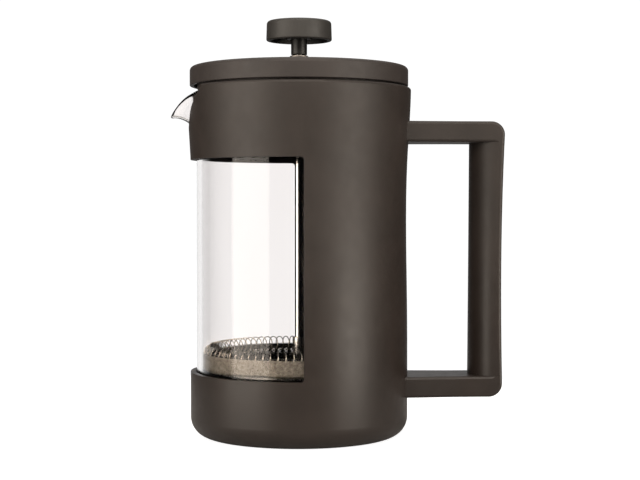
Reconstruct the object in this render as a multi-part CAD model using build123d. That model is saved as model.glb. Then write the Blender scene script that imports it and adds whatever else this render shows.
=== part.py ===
from build123d import *
import math
import os

# French press, millimetres. The origin is the centre of the flat underside of
# the casing, +Z is up, the handle is on +X and the pouring spout on -X.

# ---- casing -----------------------------------------------------------------
CASING_BASE_R = 50.5
CASING_WAIST_R = 50.4
CASING_SHOULDER_R = 50.45
CASING_TOP_R = 52.1
CASING_INNER_R = 48.1
CASING_TOP_Z = 161.6
CASING_FLOOR = 3.0
CASING_BASE_ROUND = 9.2
CASING_INNER_ROUND = 5.0
CASING_LIP_ROUND = 1.2
WAIST_Z = 60.0
SHOULDER_Z = 128.0

WINDOW_BOTTOM_Z = 30.2
WINDOW_TOP_Z = 128.3
WINDOW_CORNER = 1.6
WINDOW_EDGE_ROUND = 0.7

# Half outline of the pouring notch: (distance from the middle, height).
NOTCH_HALF = [
    (27.0, 163.2), (25.0, 160.4), (22.9, 158.0), (20.2, 155.8), (16.4, 153.3),
    (12.9, 150.6), (9.9, 147.7), (6.6, 144.9),
]
NOTCH_BOTTOM_Z = 142.3

# ---- handle -----------------------------------------------------------------
ARM_THICK = 9.6
UPPER_ARM_Z = 141.2
LOWER_ARM_Z = 23.4
ARM_ROOT_X = 44.0
STRAP_ROOT_HALF_WIDTH = 15.6
STRAP_HALF_WIDTH = 13.8
STRAP_TAPER_END_X = 76.0
STRAP_OUTER_CORNER = 6.2
STRAP_INNER_CORNER = 1.5
STRAP_EDGE_ROUND = 1.3
STRAP_BACK = 4.0
STRAP_SKIN = 1.8
# Outer face of the strap: (reach from the axis, height), top to bottom.
STRAP_LINE = [(94.9, 146.0), (93.5, 110.0), (93.0, 70.0), (93.7, 18.6)]
# Half-oval grip: (nearest reach from the axis, reach of its widest place, height), bottom to top.
GRIP_LINE = [(79.3, 92.1, 24.0), (79.7, 91.5, 78.0), (80.0, 93.2, 141.0)]
GRIP_HALF_WIDTH = 13.75

SCREW_SHANK_R = 1.5
SCREW_HEAD_R = 3.0
SCREW_HEAD_X = 48.3
SCREW_CONE = 1.6
SCREW_CLEARANCE = 0.1
SCREW_SLIP = 0.02
SCREW_END_X = 64.0

# ---- glass beaker -----------------------------------------------------------
GLASS_OUTER_R = 47.7
GLASS_INNER_R = 45.35
GLASS_BOTTOM_Z = 3.3
GLASS_FLOOR_Z = 6.0
GLASS_RIM_Z = 160.8
GLASS_OUTER_ROUND = 6.4
GLASS_INNER_ROUND = 4.4
GLASS_RIM_ROUND = 0.8
SPOUT_WALL = 1.9
# Spout stations: (reach towards -X, underside height, share of full width).
SPOUT_STATIONS = [
    (41.0, 140.0, 1.00), (47.7, 143.5, 0.96), (50.2, 144.7, 0.86),
    (52.6, 146.2, 0.72), (55.2, 147.7, 0.52), (57.4, 148.2, 0.36), (59.6, 147.7, 0.22),
]
SPOUT_FULL_HALF_WIDTH = 19.6
# Half outline of one spout section: (share of half width, share of height).
SPOUT_HALF = [(1.00, 1.00), (0.86, 0.80), (0.45, 0.50), (0.18, 0.19)]
# Side outline of the pouring lip: (reach towards -X, height).
LIP_LINE = [
    (43.6, 161.4), (46.3, 159.9), (49.0, 158.6), (51.9, 157.1), (54.7, 155.0),
    (57.0, 152.3), (58.7, 150.3), (60.2, 147.2),
]

# ---- lid --------------------------------------------------------------------
LID_R = 50.8
LID_BOTTOM_Z = 162.5
LID_EDGE_Z = 171.3
LID_CROWN_Z = 173.0
LID_WALL = 2.0
LID_EDGE_ROUND = 2.0
LID_SEAT_Z = 161.1
LID_SEAT_INNER_R = 45.9
LID_SEAT_OUTER_R = 47.3
LID_BOSS_R = 5.2
LID_BOSS_Z = 176.2
LID_BOSS_BOTTOM_Z = 166.5

STRAINER_OUTER_R = 44.7
STRAINER_INNER_R = 43.1
STRAINER_BOTTOM_Z = 151.0
STRAINER_FLANGE_R = 38.0
STRAINER_SLOTS = 11
STRAINER_SLOT_STEP = 4.5
STRAINER_SLOT_WIDTH = 1.4
STRAINER_SLOT_BOTTOM_Z = 153.2
STRAINER_SLOT_TOP_Z = 159.6

GUIDE_FLANGE_R = 4.3
GUIDE_BODY_R = 3.4
GUIDE_TOP_Z = 176.8
GUIDE_BOTTOM_Z = 165.6
GUIDE_LIP_R = 3.75
RUNNING_FIT = 0.05

# ---- plunger ----------------------------------------------------------------
ROD_R = 2.0
ROD_BOTTOM_Z = 33.4
ROD_TOP_Z = 190.4
STEM_R = 3.75
STEM_BOTTOM_Z = 177.2
STEM_TOP_Z = 186.6
KNOB_TOP_R = 15.0
KNOB_BOTTOM_R = 15.3
KNOB_BOTTOM_Z = 183.7
KNOB_TOP_Z = 192.9
KNOB_EDGE_ROUND = 1.5
KNOB_WALL = 2.0
KNOB_HUB_R = 5.6
INSERT_R = 3.1

# ---- filter stack -----------------------------------------------------------
HUB_R = 3.1
HUB_TOP_Z = 46.0
HUB_SHOULDER_Z = 32.1
HUB_SPIGOT_R = 2.4
HUB_BOTTOM_Z = 27.2

PLATE_THICK = 0.6
PLATE_CENTRE_Z = 31.5
PLATE_CENTRE_R = 35.6
PLATE_RIM_Z = 34.2
PLATE_STEP_R = 38.2
FLANGE_R = 41.5
FLANGE_TOP_Z = 39.0
FLOW_HOLE_R = 1.9
FLOW_HOLE_RINGS = [(12.0, 8), (20.5, 14), (29.0, 20)]

SPRING_LOOPS = 80
SPRING_RING_R = 40.7
SPRING_LOOP_R = 3.6
SPRING_WIRE_R = 0.28
SPRING_Z = 39.0
SPRING_SLIT = 1.2
SPRING_SLIT_X = 0.5
SPRING_EYE_R = 0.95
SPRING_EYE_Z = 35.9

MESH_THICK = 0.4
MESH_R = 45.0
MESH_BOTTOM_Z = 31.0
MESH_TOP_Z = 39.0
MESH_CORNER = 1.8
GROMMET_R = 5.6
GROMMET_LIP = 0.35

CROSS_THICK = 0.8
CROSS_RING_OUTER_R = 41.0
CROSS_RING_INNER_R = 36.0
CROSS_ARM_WIDTH = 10.0
CROSS_BOSS_R = 8.0
CROSS_ARMS = 4
NUT_ACROSS = 8.0
NUT_BOTTOM_Z = 27.6


def nearest_vertex(face, corner):
    """The corner of a flat face that lies nearest to a point."""
    return min(face.vertices(), key=lambda v: math.dist((v.X, v.Y), corner))


def turned(points, rounds=()):
    """Solid turned about Z from (radius, height) corners, some of them rounded."""
    face = make_face(Polyline(*points, close=True))
    for corner, radius in rounds:
        face = fillet(nearest_vertex(face, corner), radius)
    return revolve(Plane.XZ * face, Axis.Z)


def cylinder_between(radius, bottom, top):
    """Upright cylinder on the axis between two heights."""
    return Pos(0, 0, bottom) * Cylinder(
        radius, top - bottom, align=(Align.CENTER, Align.CENTER, Align.MIN))


def tube_between(outer, inner, bottom, top):
    """Upright tube on the axis between two heights."""
    return cylinder_between(outer, bottom, top) - cylinder_between(inner, bottom - 1, top + 1)


def mirrored(half):
    """Full left-to-right outline from one half, without the middle point."""
    return [(-w, z) for w, z in half], [(w, z) for w, z in reversed(half)]


def casing_envelope():
    """The casing's outer shape, solid right through."""
    flat_r = CASING_BASE_R - CASING_BASE_ROUND
    lip_r = CASING_TOP_R - CASING_LIP_ROUND
    side = Spline(
        (CASING_BASE_R, CASING_BASE_ROUND), (CASING_WAIST_R, WAIST_Z),
        (CASING_SHOULDER_R, SHOULDER_Z), (CASING_TOP_R, CASING_TOP_Z - CASING_LIP_ROUND),
        tangents=[(0, 1), (0.02, 1)])
    outline = [
        Line((0, 0), (flat_r, 0)),
        RadiusArc((flat_r, 0), (CASING_BASE_R, CASING_BASE_ROUND), -CASING_BASE_ROUND),
        side,
        RadiusArc((CASING_TOP_R, CASING_TOP_Z - CASING_LIP_ROUND),
                  (lip_r, CASING_TOP_Z), -CASING_LIP_ROUND),
        Line((lip_r, CASING_TOP_Z), (0, CASING_TOP_Z)),
        Line((0, CASING_TOP_Z), (0, 0)),
    ]
    return revolve(Plane.XZ * make_face(Curve() + outline), Axis.Z)


def casing_cavity():
    """The round well that takes the beaker."""
    top = CASING_TOP_Z + 5
    return turned(
        [(0, CASING_FLOOR), (CASING_INNER_R, CASING_FLOOR), (CASING_INNER_R, top), (0, top)],
        [((CASING_INNER_R, CASING_FLOOR), CASING_INNER_ROUND)])


def window_cutter():
    """Block that opens the whole spout-side half between lower cup and upper band."""
    height = WINDOW_TOP_Z - WINDOW_BOTTOM_Z
    reach = CASING_TOP_R + 10
    block = Pos(-reach / 2, 0, WINDOW_BOTTOM_Z + height / 2) * Box(reach, 2 * reach, height)
    return fillet(block.edges().filter_by(Axis.Y).group_by(Axis.X)[-1], WINDOW_CORNER)


def notch_cutter():
    """Prism that cuts the pouring notch into the upper band."""
    left, right = mirrored(NOTCH_HALF)
    curve = Spline(*left, (0, NOTCH_BOTTOM_Z), *right)
    top = CASING_TOP_Z + 5
    start, end = left[0], right[-1]
    lid = Polyline(end, (end[0], top), (start[0], top), start)
    face = Plane.YZ * make_face(Curve() + [curve, lid])
    return Pos(-CASING_TOP_R - 5, 0, 0) * extrude(face, CASING_TOP_R - 20)


def screw_at(height, shank_r):
    """Countersunk screw lying along X, its head flush in the casing's inner wall."""
    length = SCREW_END_X - SCREW_HEAD_X
    points = [(0, 0), (SCREW_HEAD_R, 0), (shank_r, SCREW_CONE), (shank_r, length), (0, length)]
    return Pos(SCREW_HEAD_X, 0, height) * Rot(0, 90, 0) * turned(points)


def screw_recess(height):
    """Countersunk hole through the casing wall, open to the well inside."""
    head_r = SCREW_HEAD_R + SCREW_CLEARANCE
    shank_r = SCREW_SHANK_R + SCREW_CLEARANCE
    length = SCREW_END_X - SCREW_HEAD_X
    points = [(0, -SCREW_CONE), (head_r, -SCREW_CONE), (head_r, 0), (shank_r, SCREW_CONE),
              (shank_r, length), (0, length)]
    return Pos(SCREW_HEAD_X, 0, height) * Rot(0, 90, 0) * turned(points)


def casing():
    """One moulding: lower cup, upper band and the half shell on the handle side."""
    shell = casing_envelope() - casing_cavity() - window_cutter() - notch_cutter()
    for height in (UPPER_ARM_Z, LOWER_ARM_Z):
        shell -= screw_recess(height)
    return shell


def strap_profile():
    """Side view of the U-shaped strap with its rounded outer corners."""
    half = ARM_THICK / 2
    (top_x, top_z), (end_x, end_z) = STRAP_LINE[0], STRAP_LINE[-1]
    back = [(x - STRAP_BACK, z) for x, z in STRAP_LINE]
    arm_low, arm_high = LOWER_ARM_Z + half, UPPER_ARM_Z - half
    back[0] = (back[0][0], arm_high)
    back[-1] = (back[-1][0], arm_low)
    outline = [
        Line((ARM_ROOT_X, top_z), (top_x, top_z)), Spline(*STRAP_LINE),
        Line((end_x, end_z), (ARM_ROOT_X, end_z)), Line((ARM_ROOT_X, end_z), (ARM_ROOT_X, arm_low)),
        Line((ARM_ROOT_X, arm_low), back[-1]), Spline(*reversed(back)),
        Line(back[0], (ARM_ROOT_X, arm_high)), Line((ARM_ROOT_X, arm_high), (ARM_ROOT_X, top_z)),
    ]
    face = make_face(Curve() + outline)
    for corner, radius in [((top_x, top_z), STRAP_OUTER_CORNER), ((end_x, end_z), STRAP_OUTER_CORNER),
                           (back[0], STRAP_INNER_CORNER), (back[-1], STRAP_INNER_CORNER)]:
        face = fillet(nearest_vertex(face, corner), radius)
    return face


def strap():
    """U-shaped strap, a little wider where its arms meet the casing, edges rounded."""
    reach = STRAP_LINE[0][0] + 5
    root, narrow, start = STRAP_ROOT_HALF_WIDTH, STRAP_HALF_WIDTH, STRAP_TAPER_END_X
    sides = [Spline((ARM_ROOT_X, side * root), (start, side * narrow), tangents=[(1, 0), (1, 0)])
             for side in (1, -1)]
    ends = [Line((start, narrow), (reach, narrow)), Line((reach, narrow), (reach, -narrow)),
            Line((reach, -narrow), (start, -narrow)), Line((ARM_ROOT_X, -root), (ARM_ROOT_X, root))]
    plan = extrude(make_face(Curve() + sides + ends), 200)
    body = extrude(Plane.XZ * strap_profile(), 2 * root, both=True) & plan
    rim = [e for e in body.edges()
           if abs(e.center().Y) > narrow / 2 and e.center().X > ARM_ROOT_X + 1
           and not is_crease(e)]
    return fillet(rim, STRAP_EDGE_ROUND)


def grip_space():
    """Room for the grip: everything between the arms but the strap's outer skin."""
    half = ARM_THICK / 2
    low, high = LOWER_ARM_Z + half, UPPER_ARM_Z - half
    skin = [(x - STRAP_SKIN, z) for x, z in STRAP_LINE]
    side = Plane.XZ * make_face(Curve() + [
        Spline(*skin), Polyline(skin[-1], (ARM_ROOT_X, skin[-1][1]), (ARM_ROOT_X, skin[0][1]), skin[0])])
    between = Pos(ARM_ROOT_X + ARM_ROOT_X / 2, 0, (low + high) / 2) * Box(
        2 * ARM_ROOT_X, 4 * STRAP_ROOT_HALF_WIDTH, high - low)
    return extrude(side, 2 * STRAP_ROOT_HALF_WIDTH, both=True) & between


def is_crease(edge):
    """True for an edge that only divides one flat side of the strap."""
    start, end = edge.position_at(0), edge.position_at(1)
    across_arm = abs(start.X - end.X) < 0.01 and abs(start.Z - end.Z) < ARM_THICK + 0.1
    return across_arm and abs(start.X - STRAP_TAPER_END_X) < 0.1


def grip_section(inner_x, widest_x, height):
    """Half-oval section of the grip: flat towards the strap, round towards the fingers."""
    depth = widest_x - inner_x
    oval = Pos(widest_x, 0) * Ellipse(depth, GRIP_HALF_WIDTH)
    oval &= Pos(widest_x - depth, 0) * Rectangle(2 * depth, 3 * GRIP_HALF_WIDTH)
    return Pos(0, 0, height) * oval


def handle():
    """Handle moulding: the U-shaped strap filled out to a half-oval grip."""
    body = strap() - grip_space() + loft([grip_section(*line) for line in GRIP_LINE])
    body -= casing_envelope()
    for height in (UPPER_ARM_Z, LOWER_ARM_Z):
        body -= screw_at(height, SCREW_SHANK_R)
    return body


def handle_screws():
    """The two screws that hold the handle, driven from inside the casing."""
    return Compound(children=[screw_at(height, SCREW_SHANK_R - SCREW_SLIP)
                              for height in (UPPER_ARM_Z, LOWER_ARM_Z)])


def spout_section(reach, underside, share, inset):
    """Upright V-shaped face across the spout at one reach from the axis."""
    bottom = underside + inset
    rise = GLASS_RIM_Z - bottom
    wide = SPOUT_FULL_HALF_WIDTH * share - inset
    half = [(w * wide, bottom + h * rise) for w, h in SPOUT_HALF]
    left, right = mirrored(half)
    curve = Spline(*left, (0, bottom), *right)
    face = make_face(Curve() + [curve, Line(right[-1], left[0])])
    return Pos(-reach, 0, 0) * (Plane.YZ * face)


def spout_body(inset):
    """Solid spout; inset gives the pouring channel inside it."""
    sections = [spout_section(reach, low, share, inset) for reach, low, share in SPOUT_STATIONS]
    return loft(sections)


def lip_cutter():
    """Block above the sloping pouring lip."""
    line = [(-reach, height) for reach, height in LIP_LINE]
    curve = Spline(*line)
    cap = Polyline(line[-1], (-70, line[-1][1]), (-70, 170), (line[0][0], 170), line[0])
    face = Plane.XZ * make_face(Curve() + [curve, cap])
    return extrude(face, 30, both=True)


def glass_beaker():
    """Borosilicate beaker with its drawn pouring lip."""
    outer = turned(
        [(0, GLASS_BOTTOM_Z), (GLASS_OUTER_R, GLASS_BOTTOM_Z), (GLASS_OUTER_R, GLASS_RIM_Z),
         (0, GLASS_RIM_Z)],
        [((GLASS_OUTER_R, GLASS_BOTTOM_Z), GLASS_OUTER_ROUND),
         ((GLASS_OUTER_R, GLASS_RIM_Z), GLASS_RIM_ROUND)])
    top = GLASS_RIM_Z + 5
    inner = turned(
        [(0, GLASS_FLOOR_Z), (GLASS_INNER_R, GLASS_FLOOR_Z), (GLASS_INNER_R, top), (0, top)],
        [((GLASS_INNER_R, GLASS_FLOOR_Z), GLASS_INNER_ROUND)])
    return (outer + spout_body(0.0)) - (inner + spout_body(SPOUT_WALL)) - lip_cutter()


def lid_cover():
    """Shallow lid cap with a hollow underside, a seat rib and the rod boss."""
    ceiling_edge = LID_EDGE_Z - LID_WALL
    ceiling_crown = LID_CROWN_Z - LID_WALL
    points = [
        (GUIDE_BODY_R, LID_BOSS_BOTTOM_Z), (LID_BOSS_R, LID_BOSS_BOTTOM_Z),
        (LID_BOSS_R, ceiling_crown), (LID_SEAT_INNER_R, ceiling_edge),
        (LID_SEAT_INNER_R, LID_SEAT_Z), (LID_SEAT_OUTER_R, LID_SEAT_Z),
        (LID_SEAT_OUTER_R, ceiling_edge), (LID_R - LID_WALL, ceiling_edge),
        (LID_R - LID_WALL, LID_BOTTOM_Z), (LID_R, LID_BOTTOM_Z), (LID_R, LID_EDGE_Z),
        (LID_R - 4, LID_EDGE_Z + 0.2), (LID_BOSS_R + 3, LID_CROWN_Z), (LID_BOSS_R, LID_CROWN_Z + 0.4),
        (LID_BOSS_R, LID_BOSS_Z), (GUIDE_BODY_R, LID_BOSS_Z),
    ]
    return turned(points, [((LID_R, LID_EDGE_Z), LID_EDGE_ROUND),
                           ((LID_BOSS_R, LID_BOSS_Z), 0.5),
                           ((LID_R, LID_BOTTOM_Z), 0.4)])


def lid_strainer():
    """Ring that plugs the beaker's mouth, slotted on the spout side."""
    ceiling = LID_EDGE_Z - LID_WALL - 0.02
    ring = turned([
        (STRAINER_INNER_R, STRAINER_BOTTOM_Z), (STRAINER_OUTER_R, STRAINER_BOTTOM_Z),
        (STRAINER_OUTER_R, ceiling), (STRAINER_FLANGE_R, ceiling),
        (STRAINER_FLANGE_R, ceiling - 1.6), (STRAINER_INNER_R, ceiling - 1.6),
    ], [((STRAINER_OUTER_R, STRAINER_BOTTOM_Z), 0.6)])
    height = STRAINER_SLOT_TOP_Z - STRAINER_SLOT_BOTTOM_Z
    middle = (STRAINER_SLOT_TOP_Z + STRAINER_SLOT_BOTTOM_Z) / 2
    slot = Pos(-STRAINER_OUTER_R, 0, middle) * Box(8, STRAINER_SLOT_WIDTH, height)
    for index in range(STRAINER_SLOTS):
        turn = (index - (STRAINER_SLOTS - 1) / 2) * STRAINER_SLOT_STEP
        ring -= Rot(0, 0, turn) * slot
    return ring


def rod_guide():
    """Flanged steel bush in the lid that the rod slides through."""
    bore = ROD_R + RUNNING_FIT
    points = [
        (bore, GUIDE_BOTTOM_Z), (GUIDE_LIP_R, GUIDE_BOTTOM_Z), (GUIDE_LIP_R, LID_BOSS_BOTTOM_Z),
        (GUIDE_BODY_R, LID_BOSS_BOTTOM_Z), (GUIDE_BODY_R, LID_BOSS_Z),
        (GUIDE_FLANGE_R, LID_BOSS_Z), (GUIDE_FLANGE_R, GUIDE_TOP_Z), (bore, GUIDE_TOP_Z),
    ]
    return turned(points, [((GUIDE_FLANGE_R, GUIDE_TOP_Z), 0.3)])


def plunger_rod():
    """Polished rod from the filter hub up into the knob."""
    rod = cylinder_between(ROD_R, ROD_BOTTOM_Z, ROD_TOP_Z)
    return chamfer(rod.edges().group_by(Axis.Z)[0], 0.4)


def knob_stem():
    """Black sleeve round the rod between lid and knob; its foot is the down stop."""
    stem = tube_between(STEM_R, ROD_R, STEM_BOTTOM_Z, STEM_TOP_Z)
    foot = stem.edges().group_by(Axis.Z)[0].sort_by(SortBy.LENGTH)[-1]
    return fillet(foot, 0.4)


def knob():
    """Disc knob, hollow underneath, with a hub for stem and threaded insert."""
    ceiling = KNOB_TOP_Z - KNOB_WALL
    points = [
        (0, ceiling), (INSERT_R, ceiling), (INSERT_R, STEM_TOP_Z), (STEM_R, STEM_TOP_Z),
        (STEM_R, KNOB_BOTTOM_Z + 0.8), (KNOB_HUB_R, KNOB_BOTTOM_Z + 0.8), (KNOB_HUB_R, ceiling),
        (KNOB_BOTTOM_R - KNOB_WALL, ceiling), (KNOB_BOTTOM_R - KNOB_WALL, KNOB_BOTTOM_Z),
        (KNOB_BOTTOM_R, KNOB_BOTTOM_Z), (KNOB_TOP_R, KNOB_TOP_Z), (0, KNOB_TOP_Z),
    ]
    return turned(points, [((KNOB_TOP_R, KNOB_TOP_Z), KNOB_EDGE_ROUND),
                           ((KNOB_BOTTOM_R, KNOB_BOTTOM_Z), 0.7),
                           ((KNOB_BOTTOM_R - KNOB_WALL, ceiling), 1.2)])


def knob_insert():
    """Threaded insert moulded into the knob that holds the rod's top end."""
    outer = cylinder_between(INSERT_R, STEM_TOP_Z, KNOB_TOP_Z - KNOB_WALL)
    return outer - cylinder_between(ROD_R, STEM_TOP_Z - 1, ROD_TOP_Z)


def filter_hub():
    """Threaded sleeve the rod screws into, with a spigot through the whole stack."""
    bore = ROD_R + RUNNING_FIT
    points = [
        (0, HUB_BOTTOM_Z), (HUB_SPIGOT_R, HUB_BOTTOM_Z), (HUB_SPIGOT_R, HUB_SHOULDER_Z),
        (HUB_R, HUB_SHOULDER_Z), (HUB_R, HUB_TOP_Z), (bore, HUB_TOP_Z),
        (bore, ROD_BOTTOM_Z - 0.4), (0, ROD_BOTTOM_Z - 0.4),
    ]
    return turned(points, [((HUB_R, HUB_TOP_Z), 0.4)])


def spiral_plate():
    """Pressed pan: dished centre, raised rim and an upright flange for the spring."""
    step_low = PLATE_CENTRE_Z + PLATE_THICK
    step_high = PLATE_RIM_Z + PLATE_THICK
    flange_inner = FLANGE_R - PLATE_THICK
    plate = turned([
        (HUB_SPIGOT_R, PLATE_CENTRE_Z), (PLATE_CENTRE_R, PLATE_CENTRE_Z),
        (PLATE_STEP_R, PLATE_RIM_Z), (FLANGE_R, PLATE_RIM_Z), (FLANGE_R, FLANGE_TOP_Z),
        (flange_inner, FLANGE_TOP_Z), (flange_inner, step_high),
        (PLATE_STEP_R - 0.3, step_high), (PLATE_CENTRE_R - 0.3, step_low), (HUB_SPIGOT_R, step_low),
    ])
    for radius, count in FLOW_HOLE_RINGS:
        hole = cylinder_between(FLOW_HOLE_R, PLATE_CENTRE_Z - 1, step_low + 1)
        plate -= [Rot(0, 0, 360 / count * k) * Pos(radius, 0, 0) * hole for k in range(count)]
    eye = Pos(FLANGE_R, 0, SPRING_EYE_Z) * Rot(0, 90, 0) * Cylinder(SPRING_EYE_R, 4)
    plate -= [Rot(0, 0, 360 / SPRING_LOOPS * (k + 0.5)) * eye for k in range(SPRING_LOOPS)]
    return plate


def coil_spring():
    """Space the ring-shaped coil fills: a thin round tube, slit where the flange enters."""
    band = Circle(SPRING_LOOP_R + SPRING_WIRE_R) - Circle(SPRING_LOOP_R - SPRING_WIRE_R)
    band -= Pos(SPRING_SLIT_X, -SPRING_LOOP_R) * Rectangle(SPRING_SLIT, SPRING_LOOP_R)
    return revolve(Plane.XZ * Pos(SPRING_RING_R, SPRING_Z) * band, Axis.Z)


def mesh_screen():
    """Fine woven screen shaped as a shallow cup under the spiral plate."""
    inner_r = MESH_R - MESH_THICK
    floor = MESH_BOTTOM_Z + MESH_THICK
    return turned([
        (HUB_SPIGOT_R, MESH_BOTTOM_Z), (MESH_R, MESH_BOTTOM_Z), (MESH_R, MESH_TOP_Z),
        (inner_r, MESH_TOP_Z), (inner_r, floor), (HUB_SPIGOT_R, floor),
    ], [((MESH_R, MESH_BOTTOM_Z), MESH_CORNER), ((inner_r, floor), MESH_CORNER - MESH_THICK)])


def cross_plate():
    """Star-shaped backing plate that clamps the screen from below."""
    bottom = MESH_BOTTOM_Z - CROSS_THICK
    plate = tube_between(CROSS_RING_OUTER_R, CROSS_RING_INNER_R, bottom, MESH_BOTTOM_Z)
    plate += cylinder_between(CROSS_BOSS_R, bottom, MESH_BOTTOM_Z)
    arm = Pos(CROSS_RING_INNER_R / 2, 0, bottom + CROSS_THICK / 2) * Box(
        CROSS_RING_INNER_R + 2, CROSS_ARM_WIDTH, CROSS_THICK)
    plate += [Rot(0, 0, 360 / CROSS_ARMS * k) * arm for k in range(CROSS_ARMS)]
    return plate - cylinder_between(HUB_SPIGOT_R, bottom - 1, MESH_BOTTOM_Z + 1)


def filter_nut():
    """Six-sided nut that closes the stack from below."""
    top = MESH_BOTTOM_Z - CROSS_THICK
    outline = RegularPolygon(NUT_ACROSS / 2, 6, major_radius=False)
    nut = Pos(0, 0, NUT_BOTTOM_Z) * extrude(outline, top - NUT_BOTTOM_Z)
    return nut - cylinder_between(HUB_SPIGOT_R, NUT_BOTTOM_Z - 1, top + 1)


SUB_PARTS = {
    "casing": casing,
    "handle": handle,
    "handle_screws": handle_screws,
    "glass_beaker": glass_beaker,
    "lid_cover": lid_cover,
    "lid_strainer": lid_strainer,
    "rod_guide": rod_guide,
    "plunger_rod": plunger_rod,
    "knob_stem": knob_stem,
    "knob": knob,
    "knob_insert": knob_insert,
    "filter_hub": filter_hub,
    "spiral_plate": spiral_plate,
    "coil_spring": coil_spring,
    "mesh_screen": mesh_screen,
    "cross_plate": cross_plate,
    "filter_nut": filter_nut,
}

os.makedirs("parts", exist_ok=True)
for name, build in SUB_PARTS.items():
    export_step(build(), f"parts/{name}.step")
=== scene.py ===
import math

import bmesh
import bpy
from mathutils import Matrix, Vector

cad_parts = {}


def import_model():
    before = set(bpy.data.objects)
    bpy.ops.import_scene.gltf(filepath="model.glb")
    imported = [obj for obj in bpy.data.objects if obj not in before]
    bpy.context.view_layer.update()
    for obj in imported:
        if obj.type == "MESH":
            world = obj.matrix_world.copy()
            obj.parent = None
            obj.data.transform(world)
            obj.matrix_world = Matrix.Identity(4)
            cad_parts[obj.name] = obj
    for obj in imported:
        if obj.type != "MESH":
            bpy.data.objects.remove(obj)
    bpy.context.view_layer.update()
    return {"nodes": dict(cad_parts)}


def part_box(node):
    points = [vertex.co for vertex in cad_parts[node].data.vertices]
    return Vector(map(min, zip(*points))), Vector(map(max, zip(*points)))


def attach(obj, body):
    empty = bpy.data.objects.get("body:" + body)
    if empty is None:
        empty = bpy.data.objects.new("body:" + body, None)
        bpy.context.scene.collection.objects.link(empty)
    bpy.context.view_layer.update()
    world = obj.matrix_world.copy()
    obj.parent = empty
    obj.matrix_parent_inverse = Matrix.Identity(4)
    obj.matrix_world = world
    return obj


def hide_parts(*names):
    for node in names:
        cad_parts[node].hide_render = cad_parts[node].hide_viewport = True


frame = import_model()

# One millimetre in metres. Sizes are named in millimetres, apart from the lights and texture scales.
MM = 0.001
EVEN = (1.0, 1.0, 1.0)
WHITE = (*EVEN, 1.0)

# The view, in millimetres from the press's axis and base, and in degrees.
CAMERA_DISTANCE = 681.5
CAMERA_HEIGHT = 106.0
CAMERA_AZIMUTH = -2.5
CAMERA_LENS = 82.07
CAMERA_YAW = 0.82
CAMERA_PITCH = 1.257
SENSOR_WIDTH = 36.0
NEAREST_SEEN = 10.0


# ---- small helpers ----------------------------------------------------------
def material(name):
    """New node material with a Principled shader; returns it, its tree and the shader."""
    made = bpy.data.materials.new(name)
    made.use_nodes = True
    tree = made.node_tree
    return made, tree, tree.nodes["Principled BSDF"]


def node(tree, kind, **inputs):
    """Adds a node and sets its plain inputs by name."""
    made = tree.nodes.new(kind)
    for key, value in inputs.items():
        made.inputs[key.replace("_", " ")].default_value = value
    return made


def object_coords(tree, scale=EVEN):
    """Object coordinates, scaled."""
    coords = tree.nodes.new("ShaderNodeTexCoord")
    mapping = tree.nodes.new("ShaderNodeMapping")
    mapping.inputs["Scale"].default_value = scale
    tree.links.new(coords.outputs["Object"], mapping.inputs["Vector"])
    return mapping.outputs["Vector"]


def parted(tree, vector):
    """A vector's X, Y and Z as the outputs of one node."""
    made = tree.nodes.new("ShaderNodeSeparateXYZ")
    tree.links.new(vector, made.inputs["Vector"])
    return made


def noise(tree, vector, scale, detail=3.0, roughness=0.5):
    """Noise texture's value output."""
    made = node(tree, "ShaderNodeTexNoise", Scale=scale, Detail=detail, Roughness=roughness)
    tree.links.new(vector, made.inputs["Vector"])
    return made.outputs["Fac"]


def ramp(tree, value, stops):
    """Colour ramp over a value; stops are (position, rgb)."""
    made = tree.nodes.new("ShaderNodeValToRGB")
    elements = made.color_ramp.elements
    while len(elements) < len(stops):
        elements.new(0.5)
    for element, (position, rgb) in zip(elements, stops):
        element.position = position
        element.color = (*rgb, 1.0)
    tree.links.new(value, made.inputs["Fac"])
    return made.outputs["Color"]


def spread(tree, value, low, high, start=0.3, end=0.7):
    """Value mapped from start..end to low..high."""
    made = node(tree, "ShaderNodeMapRange", From_Min=start, From_Max=end, To_Min=low, To_Max=high)
    tree.links.new(value, made.inputs["Value"])
    return made.outputs["Result"]


def math_node(tree, operation, first, second=0.0):
    """Math node over one or two values, each a socket or a plain number."""
    made = tree.nodes.new("ShaderNodeMath")
    made.operation = operation
    for socket, value in zip(made.inputs, (first, second)):
        if isinstance(value, (int, float)):
            socket.default_value = value
        else:
            tree.links.new(value, socket)
    return made.outputs["Value"]


def fade(tree, value, start, end, low, high):
    """Soft step from low to high as a value runs from start to end."""
    made = node(tree, "ShaderNodeMapRange", From_Min=start, From_Max=end, To_Min=low, To_Max=high)
    made.interpolation_type = "SMOOTHSTEP"
    tree.links.new(value, made.inputs["Value"])
    return made.outputs["Result"]


def bump(tree, shader, height, strength, distance):
    """Bump from a height value into the shader's normal."""
    made = node(tree, "ShaderNodeBump", Strength=strength, Distance=distance)
    tree.links.new(height, made.inputs["Height"])
    tree.links.new(made.outputs["Normal"], shader.inputs["Normal"])


# ---- materials --------------------------------------------------------------
MOTTLE_SCALE = 60.0
SHEEN_SCALE = 220.0
GRAIN_SCALE = 2600.0
GRAIN_DEPTH = 0.05
DULLING_FROM = 10.0
DULLING_TO = 130.0
PLASTIC_IOR = 1.47


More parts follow.
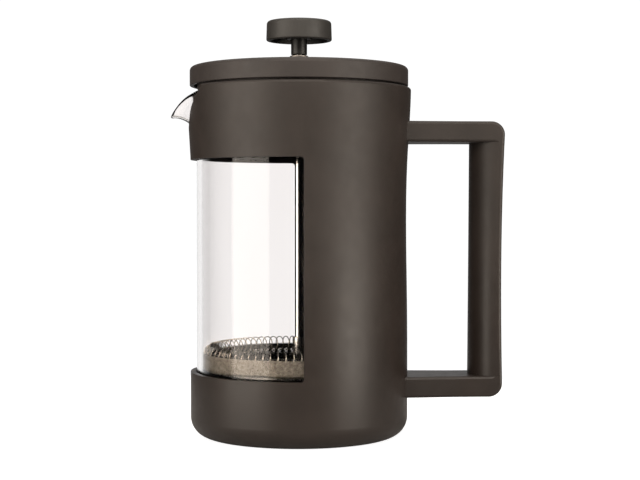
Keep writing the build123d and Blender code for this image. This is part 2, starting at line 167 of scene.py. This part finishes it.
def matte_plastic(name, dark, light, rough_low, rough_high, grain, duller_up=0.0):
    """Moulded plastic: faint mottle, uneven sheen and a fine spark-eroded grain. The sheen can
    get duller towards the top of the press."""
    made, tree, shader = material(name)
    vector = object_coords(tree)
    mottle = noise(tree, vector, MOTTLE_SCALE, detail=4.0)
    tree.links.new(ramp(tree, mottle, [(0.35, dark), (0.65, light)]), shader.inputs["Base Color"])
    sheen = noise(tree, vector, SHEEN_SCALE)
    split = parted(tree, vector)
    dulling = fade(tree, split.outputs["Z"], DULLING_FROM * MM, DULLING_TO * MM, 0.0, duller_up)
    roughness = math_node(tree, "ADD", spread(tree, sheen, rough_low, rough_high), dulling)
    tree.links.new(roughness, shader.inputs["Roughness"])
    pits = noise(tree, vector, GRAIN_SCALE, detail=2.0, roughness=0.6)
    bump(tree, shader, pits, grain, GRAIN_DEPTH * MM)
    shader.inputs["IOR"].default_value = PLASTIC_IOR
    return made


STEEL_LINE_SCALE = 900.0
STEEL_LINE_BUMP = 0.012
STEEL_LINE_DEPTH = 0.02


def steel(name, dark, light, rough_low, rough_high, stretch=EVEN):
    """Metal with fine lines, which run along the direction that is stretched least."""
    made, tree, shader = material(name)
    vector = object_coords(tree, stretch)
    lines = noise(tree, vector, STEEL_LINE_SCALE)
    tree.links.new(ramp(tree, lines, [(0.3, dark), (0.7, light)]), shader.inputs["Base Color"])
    tree.links.new(spread(tree, lines, rough_low, rough_high), shader.inputs["Roughness"])
    bump(tree, shader, lines, STEEL_LINE_BUMP, STEEL_LINE_DEPTH * MM)
    shader.inputs["Metallic"].default_value = 1.0
    return made


GLASS_IOR = 1.47
GLASS_TINT_LOW = (0.946, 0.926, 0.920)
GLASS_TINT_HIGH = (0.955, 0.937, 0.932)
GLASS_MIRROR = (0.34, 0.34, 0.34, 1.0)
GLASS_WAVE_SCALE = 55.0
GLASS_WAVE_STRETCH = (1.0, 1.0, 0.35)
GLASS_WAVE_BUMP = 0.01
GLASS_WAVE_DEPTH = 0.2


def clear_glass():
    """Borosilicate glass with a slight tint, faint drawn waviness and subdued reflections."""
    made, tree, shader = material("beaker_glass")
    vector = object_coords(tree, GLASS_WAVE_STRETCH)
    wave = noise(tree, vector, GLASS_WAVE_SCALE, detail=1.0)
    tint = ramp(tree, wave, [(0.3, GLASS_TINT_LOW), (0.7, GLASS_TINT_HIGH)])
    tree.links.new(tint, shader.inputs["Base Color"])
    bump(tree, shader, wave, GLASS_WAVE_BUMP, GLASS_WAVE_DEPTH * MM)
    shader.inputs["Roughness"].default_value = 0.0
    shader.inputs["IOR"].default_value = GLASS_IOR
    shader.inputs["Transmission Weight"].default_value = 1.0
    shader.inputs["Specular Tint"].default_value = GLASS_MIRROR
    return made


def thread_height(tree, value, pitch):
    """Rounded thread profile repeating along one coordinate, 0 in the gaps and 1 on the threads."""
    wave = math_node(tree, "SINE", math_node(tree, "MULTIPLY", value, math.pi / pitch))
    return math_node(tree, "ABSOLUTE", wave)


def round_the_axis(tree, split, radius):
    """Distance round the axis at a radius, from separated object coordinates."""
    bearing = math_node(tree, "ARCTAN2", split.outputs["Y"], split.outputs["X"])
    return math_node(tree, "MULTIPLY", bearing, radius)


WEAVE_PITCH = 0.42
WEAVE_BUMP = 0.4
WEAVE_DEPTH = 0.1
WEAVE_GRAIN_SCALE = 700.0
WIRE_DARK = (0.30, 0.265, 0.215)
WIRE_LIGHT = (0.62, 0.565, 0.475)
WIRE_METALLIC = 0.55
WIRE_ROUGHNESS = 0.5
GAP_ALPHA = 0.02
WIRE_ALPHA = 0.95
GAP_TOP = 0.80
WIRE_BOTTOM = 0.96
MESH_R = 45.0


def woven_mesh():
    """Woven wire cloth: bright crossing wires with see-through gaps between them."""
    made, tree, shader = material("mesh_steel")
    vector = object_coords(tree)
    split = parted(tree, vector)
    warp = thread_height(tree, round_the_axis(tree, split, MESH_R * MM), WEAVE_PITCH * MM)
    weft = thread_height(tree, split.outputs["Z"], WEAVE_PITCH * MM)
    threads = math_node(tree, "MAXIMUM", warp, weft)
    grain = noise(tree, vector, WEAVE_GRAIN_SCALE)
    tree.links.new(ramp(tree, grain, [(0.3, WIRE_DARK), (0.7, WIRE_LIGHT)]), shader.inputs["Base Color"])
    bump(tree, shader, threads, WEAVE_BUMP, WEAVE_DEPTH * MM)
    shader.inputs["Metallic"].default_value = WIRE_METALLIC
    shader.inputs["Roughness"].default_value = WIRE_ROUGHNESS
    tree.links.new(spread(tree, threads, GAP_ALPHA, WIRE_ALPHA, GAP_TOP, WIRE_BOTTOM), shader.inputs["Alpha"])
    return made


# Plastics: darker and lighter tone, lowest and highest roughness, strength of the grain.
PLASTICS = {
    "casing_plastic": ((0.0125, 0.0082, 0.0062), (0.0170, 0.0115, 0.0090), 0.36, 0.42, 0.25),
    "knob_plastic": ((0.0180, 0.0165, 0.0148), (0.0235, 0.0210, 0.0190), 0.5, 0.6, 0.3),
    "lid_plastic": ((0.0175, 0.0130, 0.0115), (0.0225, 0.0170, 0.0150), 0.54, 0.62, 0.25),
    "strainer_plastic": ((0.030, 0.026, 0.023), (0.040, 0.035, 0.031), 0.4, 0.5, 0.3),
    "stem_plastic": ((0.0030, 0.0026, 0.0020), (0.0055, 0.0047, 0.0036), 0.40, 0.48, 0.1),
}
CASING_DULLER_UP = 0.15

# Metals: darker and lighter tone, lowest and highest roughness, how the lines are stretched.
METALS = {
    "rod_steel": ((0.55, 0.53, 0.50), (0.66, 0.64, 0.61), 0.08, 0.12, (1.5, 1.5, 0.05)),
    "hub_steel": ((0.50, 0.48, 0.45), (0.70, 0.68, 0.65), 0.12, 0.22, (1.0, 1.0, 6.0)),
    # The spiral plate's steel is drawn near-black: painted shade standing in for the shadow and dark
    # reflection it sits in inside the beaker.
    "plate_steel": ((0.055, 0.050, 0.043), (0.080, 0.072, 0.063), 0.22, 0.30, EVEN),
    "spring_steel": ((0.44, 0.41, 0.36), (0.66, 0.62, 0.56), 0.18, 0.28, EVEN),
    "guide_steel": ((0.30, 0.27, 0.25), (0.40, 0.37, 0.34), 0.42, 0.52, (1.0, 1.0, 6.0)),
    "cross_steel": ((0.42, 0.40, 0.37), (0.62, 0.59, 0.55), 0.22, 0.32, (4.0, 0.4, 1.0)),
    "nut_steel": ((0.48, 0.46, 0.43), (0.66, 0.64, 0.60), 0.26, 0.36, EVEN),
    "screw_steel": ((0.44, 0.43, 0.41), (0.60, 0.59, 0.56), 0.28, 0.4, EVEN),
    "insert_brass": ((0.55, 0.40, 0.16), (0.72, 0.55, 0.26), 0.2, 0.35, (1.0, 1.0, 4.0)),
}


# ---- stage ------------------------------------------------------------------
def camera():
    """Camera beside the press, a little towards the spout and about level with the middle."""
    azimuth = math.radians(CAMERA_AZIMUTH)
    place = Vector((math.sin(azimuth) * CAMERA_DISTANCE, -math.cos(azimuth) * CAMERA_DISTANCE,
                    CAMERA_HEIGHT)) * MM
    made = bpy.data.objects.new("camera", bpy.data.cameras.new("camera"))
    bpy.context.collection.objects.link(made)
    made.data.lens = CAMERA_LENS
    made.data.sensor_width = SENSOR_WIDTH
    made.data.clip_start = NEAREST_SEEN * MM
    made.location = place
    made.rotation_euler = (math.radians(90.0 - CAMERA_PITCH), 0.0, azimuth - math.radians(CAMERA_YAW))
    bpy.context.scene.camera = made


LIGHT_TONE = (1.0, 0.91, 0.80)

# Lights: degrees round the press, distance, height, size, power, height aimed at; in metres and watts.
SOFTBOXES = {
    "softbox_left": (-55.7, 1.0, 0.3, (0.84, 1.1), 13.4, 0.3),
    "softbox_right": (55.0, 1.0, 0.3, (0.50, 1.1), 11.2, 0.3),
    "front_fill": (3.0, 1.1, 0.85, (0.7, 0.6), 9.5, 0.1),
    "top_light": (180.0, 0.15, 1.6, (2.0, 2.0), 16.0, 0.0),
}


def softbox(name, azimuth, distance, height, size, energy, aim_z):
    """Rectangular area light standing round the press; azimuth 0 is the camera's side."""
    light = bpy.data.lights.new(name, "AREA")
    light.shape = "RECTANGLE"
    light.size, light.size_y = size
    light.energy = energy
    light.color = LIGHT_TONE
    made = bpy.data.objects.new(name, light)
    bpy.context.collection.objects.link(made)
    turn = math.radians(azimuth + CAMERA_AZIMUTH)
    made.location = (math.sin(turn) * distance, -math.cos(turn) * distance, height)
    aim = Vector((0.0, 0.0, aim_z)) - made.location
    made.rotation_euler = aim.to_track_quat("-Z", "Y").to_euler()


NO_BOUNCE = 0.5


def seen_straight(tree):
    """1 where the eye sees something directly or through glass, 0 where it lights or is mirrored."""
    path = tree.nodes.new("ShaderNodeLightPath")
    bounces = math_node(tree, "ADD", path.outputs["Glossy Depth"], path.outputs["Diffuse Depth"])
    return math_node(tree, "LESS_THAN", bounces, NO_BOUNCE)


SEEN_LIGHT = 1.06
MIRRORED_LIGHT = 0.95
BACKDROP_LIGHT = 0.55
OVERHEAD_LIGHT = 0.6
ROOM_LIGHT = 0.03

# Each of these is a range of one part of the viewing direction, over which a light fades.
BACKDROP_FADE = (0.86, 0.98)
OVERHEAD_FADE = (0.45, 0.9)
MIRRORED_FADE = (0.45, 0.85)
HORIZON_FADE = (0.30, 0.52)

# The nearer glass wall has two surfaces; past them the wide backdrop isn't mirrored any more.
NEAR_WALL_SURFACES = 2.5


def world():
    """Studio surround: white where it is seen, directly or through the glass, and as light a
    bright backdrop, a soft ceiling and a dark room. Clear glass mirrors a wider backdrop."""
    made = bpy.data.worlds.new("studio")
    bpy.context.scene.world = made
    made.use_nodes = True
    tree = made.node_tree
    background = tree.nodes["Background"]
    coords = tree.nodes.new("ShaderNodeTexCoord")
    split = parted(tree, coords.outputs["Generated"])
    backdrop = fade(tree, split.outputs["Y"], *BACKDROP_FADE, 0.0, BACKDROP_LIGHT)
    ceiling = fade(tree, split.outputs["Z"], *OVERHEAD_FADE, ROOM_LIGHT, OVERHEAD_LIGHT)
    light = math_node(tree, "MAXIMUM", backdrop, ceiling)
    path = tree.nodes.new("ShaderNodeLightPath")
    near_wall = math_node(tree, "LESS_THAN", path.outputs["Transmission Depth"], NEAR_WALL_SURFACES)
    mirror = math_node(tree, "MULTIPLY", path.outputs["Is Singular Ray"], near_wall)
    wide = fade(tree, split.outputs["Y"], *MIRRORED_FADE, 0.0, MIRRORED_LIGHT)
    mirrored = math_node(tree, "MULTIPLY", mirror, wide)
    slope = math_node(tree, "ABSOLUTE", split.outputs["Z"])
    horizon = fade(tree, slope, *HORIZON_FADE, SEEN_LIGHT, 0.0)
    through_glass = math_node(tree, "MULTIPLY", seen_straight(tree), horizon)
    seen = math_node(tree, "MAXIMUM", path.outputs["Is Camera Ray"], through_glass)
    bright = math_node(tree, "MAXIMUM", seen, mirrored)
    tree.links.new(math_node(tree, "MAXIMUM", bright, light), background.inputs["Strength"])
    background.inputs["Color"].default_value = WHITE


FLOOR_R = 250.0
FLOOR_SIDES = 96
FLOOR_GLOW = 0.9
FLOOR_ROUGHNESS = 0.85
FLOOR_TONE_SCALE = 3.0
FLOOR_TONES = [(0.3, (0.36, 0.36, 0.36)), (0.7, (0.40, 0.40, 0.40))]
FLOOR_GLOW_TONES = [(0.3, (0.97, 0.97, 0.97)), (0.7, (1.0, 1.0, 1.0))]


def floor():
    """Plain pale floor, bright enough to run into the white surround."""
    mesh = bpy.data.meshes.new("floor")
    build = bmesh.new()
    bmesh.ops.create_circle(build, cap_ends=True, segments=FLOOR_SIDES, radius=FLOOR_R * MM)
    build.to_mesh(mesh)
    build.free()
    made = bpy.data.objects.new("floor", mesh)
    bpy.context.collection.objects.link(made)
    surface, tree, shader = material("floor_paper")
    vector = object_coords(tree)
    tone = noise(tree, vector, FLOOR_TONE_SCALE, detail=2.0)
    tree.links.new(ramp(tree, tone, FLOOR_TONES), shader.inputs["Base Color"])
    shader.inputs["Roughness"].default_value = FLOOR_ROUGHNESS
    tree.links.new(ramp(tree, tone, FLOOR_GLOW_TONES), shader.inputs["Emission Color"])
    glow = math_node(tree, "MULTIPLY", seen_straight(tree), FLOOR_GLOW)
    tree.links.new(glow, shader.inputs["Emission Strength"])
    mesh.materials.append(surface)


# ---- pieces -----------------------------------------------------------------
def link(name, mesh, body, surface):
    """Puts a finished mesh into the scene as a piece riding on a body."""
    made = bpy.data.objects.new(name, mesh)
    bpy.context.collection.objects.link(made)
    mesh.materials.append(surface)
    for face in mesh.polygons:
        face.use_smooth = True
    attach(made, body)
    return made


def closed_wire(points, radius, sides):
    """Mesh of a round wire along a closed line of points, framed by parallel transport."""
    build = bmesh.new()
    count = len(points)
    rings = []
    normal = None
    for index, point in enumerate(points):
        tangent = (points[(index + 1) % count] - points[index - 1]).normalized()
        if normal is None:
            normal = tangent.orthogonal()
        normal = (normal - tangent * normal.dot(tangent)).normalized()
        side = tangent.cross(normal)
        turns = [2 * math.pi * k / sides for k in range(sides)]
        rings.append([build.verts.new(point + radius * (math.cos(turn) * normal + math.sin(turn) * side))
                      for turn in turns])
    for index in range(count):
        ring, after = rings[index], rings[(index + 1) % count]
        for k in range(sides):
            build.faces.new((ring[k], ring[(k + 1) % sides], after[(k + 1) % sides], after[k]))
    bmesh.ops.recalc_face_normals(build, faces=build.faces)
    mesh = bpy.data.meshes.new("wire")
    build.to_mesh(mesh)
    build.free()
    return mesh


# The coil: its loops lie round a ring, and each loop leans a little along it.
SPRING_LOOPS = 80
SPRING_RING_R = 40.7
SPRING_LOOP_R = 3.6
SPRING_WIRE_R = 0.25
SPRING_Z = 39.0
SPRING_STEPS = 20
SPRING_SIDES = 8
SPRING_LEAN = 1.8


def coil_points():
    """Middle line of the ring-shaped coil."""
    points = []
    for step in range(SPRING_LOOPS * SPRING_STEPS):
        turn = step / SPRING_STEPS
        swing = 2 * math.pi * turn
        radius = SPRING_RING_R + SPRING_LOOP_R * math.sin(swing)
        bearing = swing / SPRING_LOOPS + SPRING_LEAN / SPRING_RING_R * math.sin(swing)
        points.append(Vector((radius * math.cos(bearing), radius * math.sin(bearing),
                              SPRING_Z - SPRING_LOOP_R * math.cos(swing))) * MM)
    return points


def coil_spring(surface):
    """The real coil in place of its CAD envelope."""
    mesh = closed_wire(coil_points(), SPRING_WIRE_R * MM, SPRING_SIDES)
    piece = link("coil_spring_wire", mesh, "filter", surface)
    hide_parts("coil_spring")


# Pouring lip: (degrees from the spout's middle, rim radius, rim height, height where it leaves
# the wall, tilt of the rim from upright).
SPOUT_LINE = [
    (0.0, 58.9, 148.1, 141.7, 102.0), (3.4, 58.15, 149.4, 143.5, 97.0),
    (6.1, 56.9, 151.4, 145.9, 90.0), (9.7, 55.0, 154.0, 149.4, 82.0),
    (13.7, 52.9, 156.2, 152.8, 75.0), (17.7, 50.8, 157.7, 155.2, 68.0),
    (21.5, 48.6, 158.8, 157.0, 54.0), (25.5, 47.0, 159.45, 158.2, 24.0),
    (29.0, 46.525, 159.625, 158.8, 0.0),
]

# The beaker: rows and columns of its mesh, how the lip leaves the wall, and the glass's thickness.
SPOUT_COLUMNS = 42
WALL_COLUMNS = 90
WALL_ROWS = 10
SPOUT_ROWS = 18
CORNER_STEPS = 8
SPOUT_START = 0.11
SPOUT_END = 0.41
GLASS_WALL = 2.35
LIP_WALL = 1.3
LIP_THINNING = 2.5
GLASS_FLOOR = 2.7
GLASS_OUTER_ROUND = 6.4
GLASS_INNER_ROUND = 4.4


def slope_at(line, index, column):
    """Slope of a listed curve at one of its rows, level at both ends."""
    if index in (0, len(line) - 1):
        return 0.0
    before, after = line[index - 1], line[index + 1]
    return (after[column] - before[column]) / (after[0] - before[0])


def smooth_between(line, at):
    """Values of a listed curve at a place, running smoothly through its rows."""
    if at >= line[-1][0]:
        return list(line[-1][1:])
    index = max(i for i, row in enumerate(line[:-1]) if row[0] <= at)
    before, after = line[index], line[index + 1]
    span = after[0] - before[0]
    t = (at - before[0]) / span
    values = []
    for column in range(1, len(before)):
        start = slope_at(line, index, column) * span
        end = slope_at(line, index + 1, column) * span
        values.append((2 * t ** 3 - 3 * t ** 2 + 1) * before[column] + (t ** 3 - 2 * t ** 2 + t) * start
                      + (3 * t ** 2 - 2 * t ** 3) * after[column] + (t ** 3 - t ** 2) * end)
    return values


def wall_column(angle, wall_r, floor_z):
    """Middle line of the glass wall at one bearing, as (radius, height, thickness) rows."""
    rim_r, rim_z, leave_z, tilt = smooth_between(SPOUT_LINE, abs(angle))
    start, end = Vector((wall_r, leave_z)), Vector((rim_r, rim_z))
    chord = (end - start).length
    lean = Vector((math.sin(math.radians(tilt)), math.cos(math.radians(tilt))))
    first = start + Vector((0.0, SPOUT_START * chord))
    second = end - SPOUT_END * chord * lean
    low = floor_z + GLASS_INNER_ROUND
    rows = [(wall_r, low + (leave_z - low) * k / WALL_ROWS, GLASS_WALL) for k in range(WALL_ROWS)]
    drawn = min(1.0, LIP_THINNING * (rim_r - wall_r) / (SPOUT_LINE[0][1] - wall_r))
    for k in range(SPOUT_ROWS + 1):
        t = k / SPOUT_ROWS
        point = ((1 - t) ** 3 * start + 3 * t * (1 - t) ** 2 * first
                 + 3 * t ** 2 * (1 - t) * second + t ** 3 * end)
        rows.append((point.x, point.y, GLASS_WALL - (GLASS_WALL - LIP_WALL) * t * drawn))
    return rows


def on_bearing(angle, radius, height):
    """Point at a bearing measured from the spout's middle."""
    turn = math.radians(angle)
    return Vector((-radius * math.cos(turn), -radius * math.sin(turn), height))


def corner_arc(radius, height, bend, steps):
    """Quarter circle from a flat floor out to an upright wall, as (radius, height)."""
    return [(radius - bend + bend * math.sin(math.pi / 2 * k / steps),
             height + bend - bend * math.cos(math.pi / 2 * k / steps)) for k in range(steps + 1)]


def skin_column(angles, middles, walls, index):
    """One bearing's loop of points: outside, over the rounded rim and down the inside."""
    count = len(angles)
    column = middles[index]
    ahead, behind = middles[(index + 1) % count], middles[index - 1]
    radial = on_bearing(angles[index], 1.0, 0.0)
    upright = (column[1] - column[0]).cross(ahead[0] - behind[0])
    facing = math.copysign(1.0, upright.dot(radial))
    outside, inside = [], []
    for row, point in enumerate(column):
        along = column[min(row + 1, len(column) - 1)] - column[max(row - 1, 0)]
        normal = facing * along.cross(ahead[row] - behind[row]).normalized()
        half = walls[index][row] / 2
        outside.append(point + half * normal)
        inside.append(point - half * normal)
    # The rim goes round from the outside to the inside of the topmost row.
    edge = (ahead[-1] - behind[-1]).normalized()
    outward = normal.cross(edge).normalized()
    if outward.dot(column[-1] - column[-2]) < 0:
        outward = -outward
    rim = [column[-1] + half * (math.cos(math.pi * k / CORNER_STEPS) * normal
                                + math.sin(math.pi * k / CORNER_STEPS) * outward)
           for k in range(1, CORNER_STEPS)]
    return outside, rim, inside


def glass_mesh(outer_r, bottom_z):
    """Beaker drawn from one wall: flat floor, round corners, straight wall and pouring lip."""
    wall_r = outer_r - GLASS_WALL / 2
    floor_z = bottom_z + GLASS_FLOOR
    side = SPOUT_LINE[-1][0]
    angles = [side * k / SPOUT_COLUMNS for k in range(-SPOUT_COLUMNS, SPOUT_COLUMNS)]
    angles += [side + (360 - 2 * side) * k / WALL_COLUMNS for k in range(WALL_COLUMNS)]
    plans = [wall_column(angle if angle <= 180 else 360 - angle, wall_r, floor_z) for angle in angles]
    middles = [[on_bearing(angle, r, z) for r, z, _ in plan] for angle, plan in zip(angles, plans)]
    walls = [[wall for _, _, wall in plan] for plan in plans]
    build = bmesh.new()
    columns = []
    for index, angle in enumerate(angles):
        outside, rim, inside = skin_column(angles, middles, walls, index)
        foot = corner_arc(outer_r, bottom_z, GLASS_OUTER_ROUND, CORNER_STEPS)
        well = corner_arc(outer_r - GLASS_WALL, floor_z, GLASS_INNER_ROUND, CORNER_STEPS)[:-1]
        points = [on_bearing(angle, r, z) for r, z in foot] + outside + rim
        points += list(reversed(inside)) + [on_bearing(angle, r, z) for r, z in reversed(well)]
        columns.append([build.verts.new(point * MM) for point in points])
    for index, column in enumerate(columns):
        after = columns[(index + 1) % len(columns)]
        for row in range(len(column) - 1):
            build.faces.new((column[row], after[row], after[row + 1], column[row + 1]))
    build.faces.new([column[0] for column in columns])
    build.faces.new([column[-1] for column in columns])
    bmesh.ops.recalc_face_normals(build, faces=build.faces)
    mesh = bpy.data.meshes.new("glass")
    build.to_mesh(mesh)
    build.free()
    return mesh


def glass_beaker(surface):
    """The beaker with its fire-polished rim and drawn lip, in place of its CAD solid."""
    low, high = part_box("glass_beaker")
    mesh = glass_mesh(high[0] / MM, low[2] / MM)
    piece = link("glass_beaker_drawn", mesh, "beaker", surface)
    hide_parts("glass_beaker")


def dress(name, surface):
    """Gives a CAD node its material."""
    piece = frame["nodes"][name]
    piece.data.materials.clear()
    piece.data.materials.append(surface)
    for face in piece.data.polygons:
        face.material_index = 0


# Which material each CAD node wears.
PLASTIC_WORN = {
    "lid_cover": "lid_plastic",
    "lid_strainer": "strainer_plastic",
    "knob": "knob_plastic",
    "knob_stem": "stem_plastic",
}
METAL_WORN = {
    "rod_guide": "guide_steel",
    "plunger_rod": "rod_steel",
    "filter_hub": "hub_steel",
    "spiral_plate": "plate_steel",
    "cross_plate": "cross_steel",
    "filter_nut": "nut_steel",
    "handle_screws": "screw_steel",
    "knob_insert": "insert_brass",
}

camera()
world()
floor()
for name, setting in SOFTBOXES.items():
    softbox(name, *setting)

casing_plastic = matte_plastic("casing_plastic", *PLASTICS["casing_plastic"], CASING_DULLER_UP)
dress("casing", casing_plastic)
dress("handle", casing_plastic)
for name, worn in PLASTIC_WORN.items():
    dress(name, matte_plastic(worn, *PLASTICS[worn]))
for name, worn in METAL_WORN.items():
    dress(name, steel(worn, *METALS[worn]))
dress("mesh_screen", woven_mesh())
glass_beaker(clear_glass())
coil_spring(steel("spring_steel", *METALS["spring_steel"]))

bpy.context.scene.view_settings.view_transform = "Standard"
